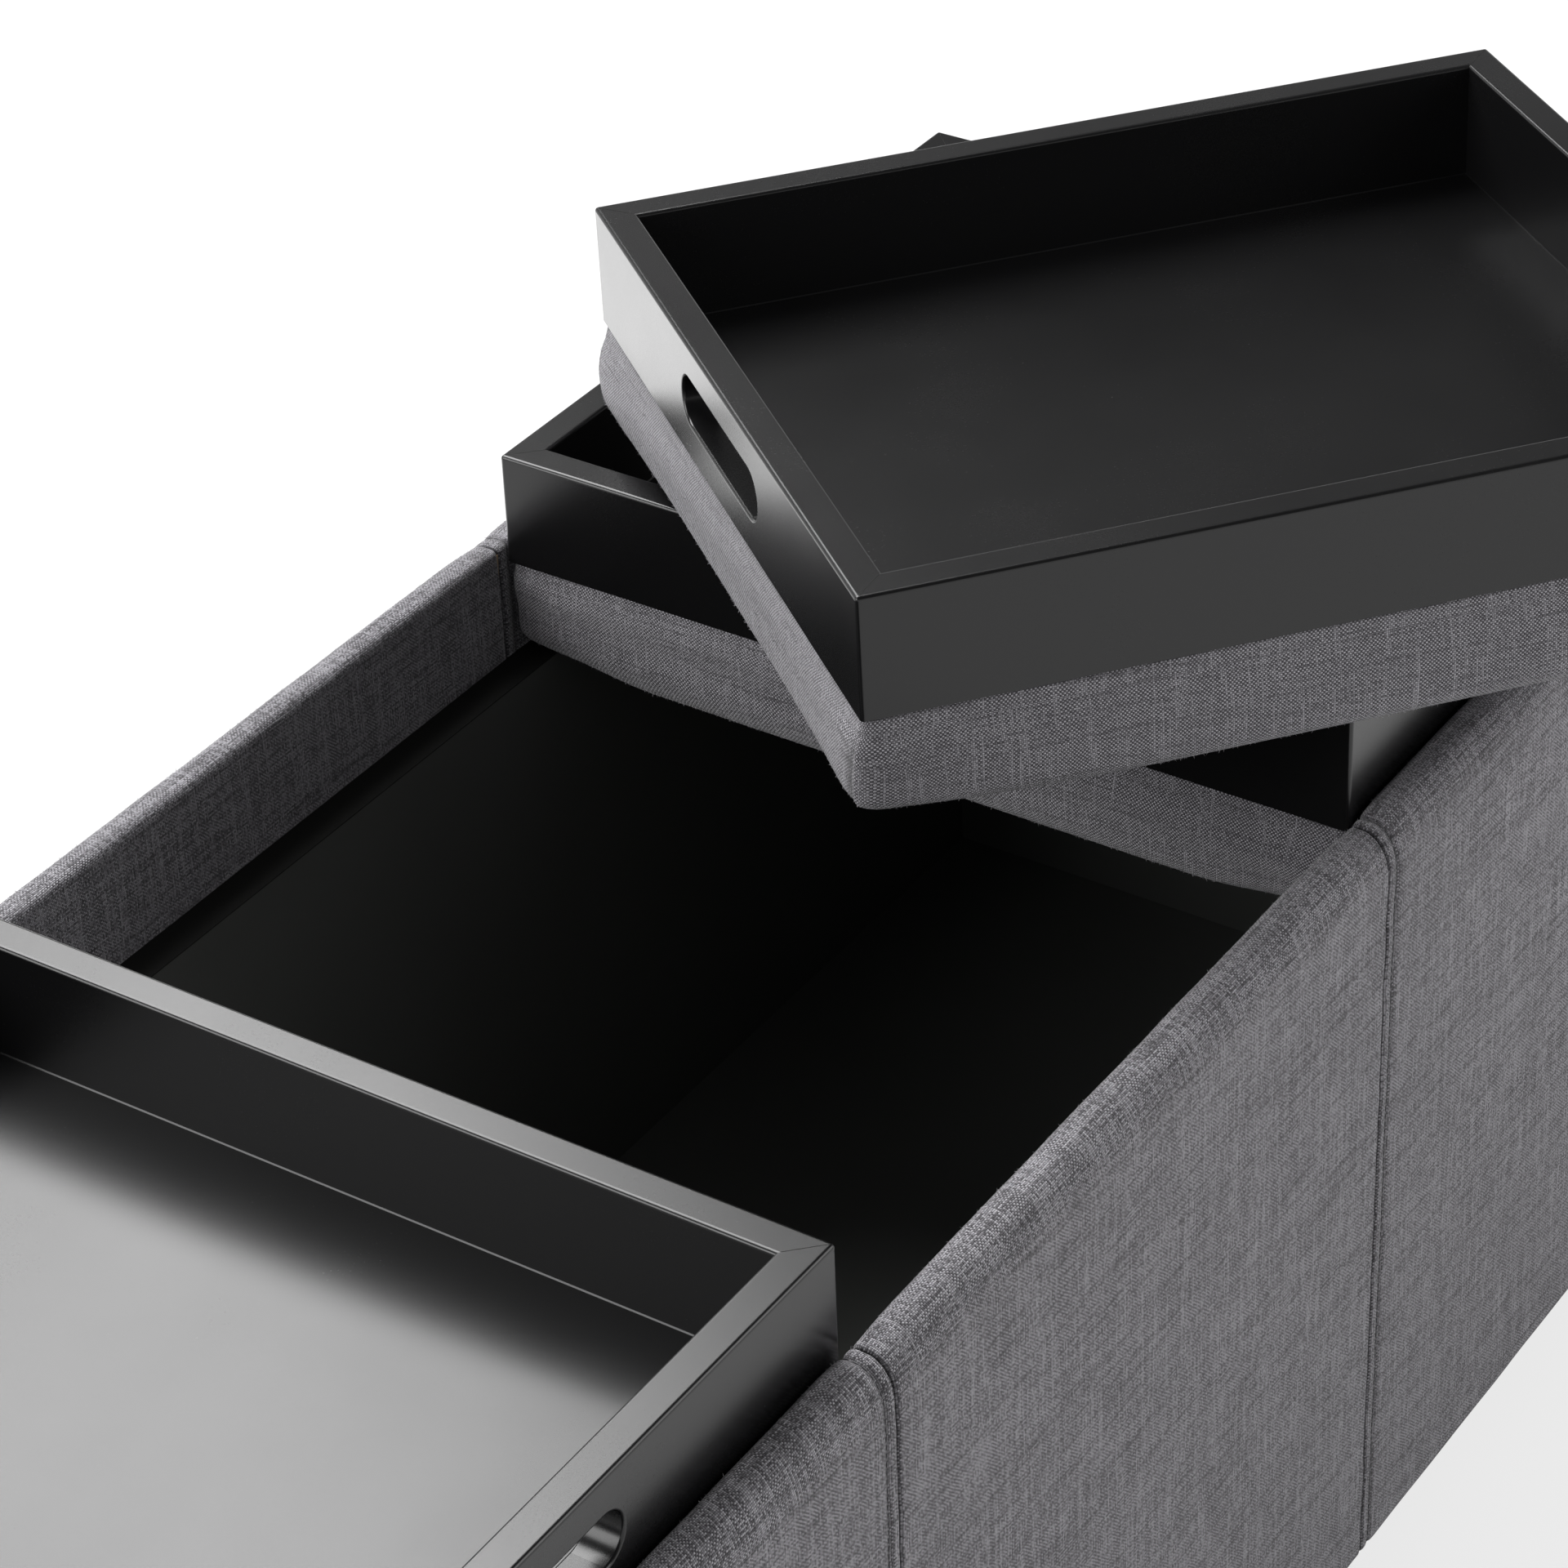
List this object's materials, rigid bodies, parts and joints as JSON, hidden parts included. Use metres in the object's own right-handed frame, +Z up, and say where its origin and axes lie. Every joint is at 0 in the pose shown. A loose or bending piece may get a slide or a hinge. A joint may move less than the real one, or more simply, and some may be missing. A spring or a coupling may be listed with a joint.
{
  "type": "storage ottoman bench",
  "caption": "Long upholstered storage ottoman with lift-off lids, each a lacquered serving tray on one side and a seat pad on the other.",
  "frame": {"origin": "centre of the whole object's bounding box in plan, on the floor under the feet", "axes": "+X along the bench to its right end, -Y towards its front, +Z up"},
  "size_m": [1.0446, 0.5324, 0.5425],
  "materials": {
    "grey_fabric": "slubby plain weave, charcoal grey",
    "black_lacquer": "satin black lacquer on wood",
    "black_lining": "smooth black lining board",
    "bare_board": "bare board",
    "foam": "soft foam and wadding",
    "dust_cloth": "thin black non-woven cloth",
    "foot_lacquer": "satin black lacquer on wood",
    "steel": "zinc-plated steel"
  },
  "bodies": {
    "bench": {"wall_front": "bare_board", "padding_front": "foam", "lining_front": "black_lining", "wall_right": "bare_board", "padding_right": "foam", "lining_right": "black_lining", "wall_rear": "bare_board", "padding_rear": "foam", "lining_rear": "black_lining", "wall_left": "bare_board", "padding_left": "foam", "lining_left": "black_lining", "cover_left": "grey_fabric", "cover_right": "grey_fabric", "cover_front_left": "grey_fabric", "cover_front_middle": "grey_fabric", "cover_front_right": "grey_fabric", "cover_rear_left": "grey_fabric", "cover_rear_middle": "grey_fabric", "cover_rear_right": "grey_fabric", "floor_board": "black_lining", "block_front_left": "bare_board", "foot_front_left": "foot_lacquer", "block_front_right": "bare_board", "foot_front_right": "foot_lacquer", "block_rear_right": "bare_board", "foot_rear_right": "foot_lacquer", "block_rear_left": "bare_board", "foot_rear_left": "foot_lacquer", "foot_bolts": "steel", "wall_screws": "steel", "dust_cover": "dust_cloth"},
    "left_lid": {"left_tray_front": "black_lacquer", "left_tray_right": "black_lacquer", "left_tray_rear": "black_lacquer", "left_tray_left": "black_lacquer", "left_tray_floor": "black_lacquer", "left_pad_board": "bare_board", "left_pad_foam": "foam", "left_pad_cover": "grey_fabric", "left_lid_screws": "steel"},
    "middle_lid": {"middle_tray_front": "black_lacquer", "middle_tray_right": "black_lacquer", "middle_tray_rear": "black_lacquer", "middle_tray_left": "black_lacquer", "middle_tray_floor": "black_lacquer", "middle_pad_board": "bare_board", "middle_pad_foam": "foam", "middle_pad_cover": "grey_fabric", "middle_lid_screws": "steel"},
    "right_lid": {"right_tray_front": "black_lacquer", "right_tray_right": "black_lacquer", "right_tray_rear": "black_lacquer", "right_tray_left": "black_lacquer", "right_tray_floor": "black_lacquer", "right_pad_board": "bare_board", "right_pad_foam": "foam", "right_pad_cover": "grey_fabric", "right_lid_screws": "steel"}
  },
  "joints": [
    {"name": "left_lid_lift", "type": "slide", "parent": "bench", "child": "left_lid", "axis": [0, 0, 1], "range_m": [0, 0.2]},
    {"name": "right_lid_lift", "type": "slide", "parent": "bench", "child": "right_lid", "axis": [0, 0, 1], "range_m": [0, 0.2]},
    {"name": "middle_lid_lift", "type": "slide", "parent": "right_lid", "child": "middle_lid", "axis": [0, 0, 1], "range_m": [0, 0.2]}
  ]
}
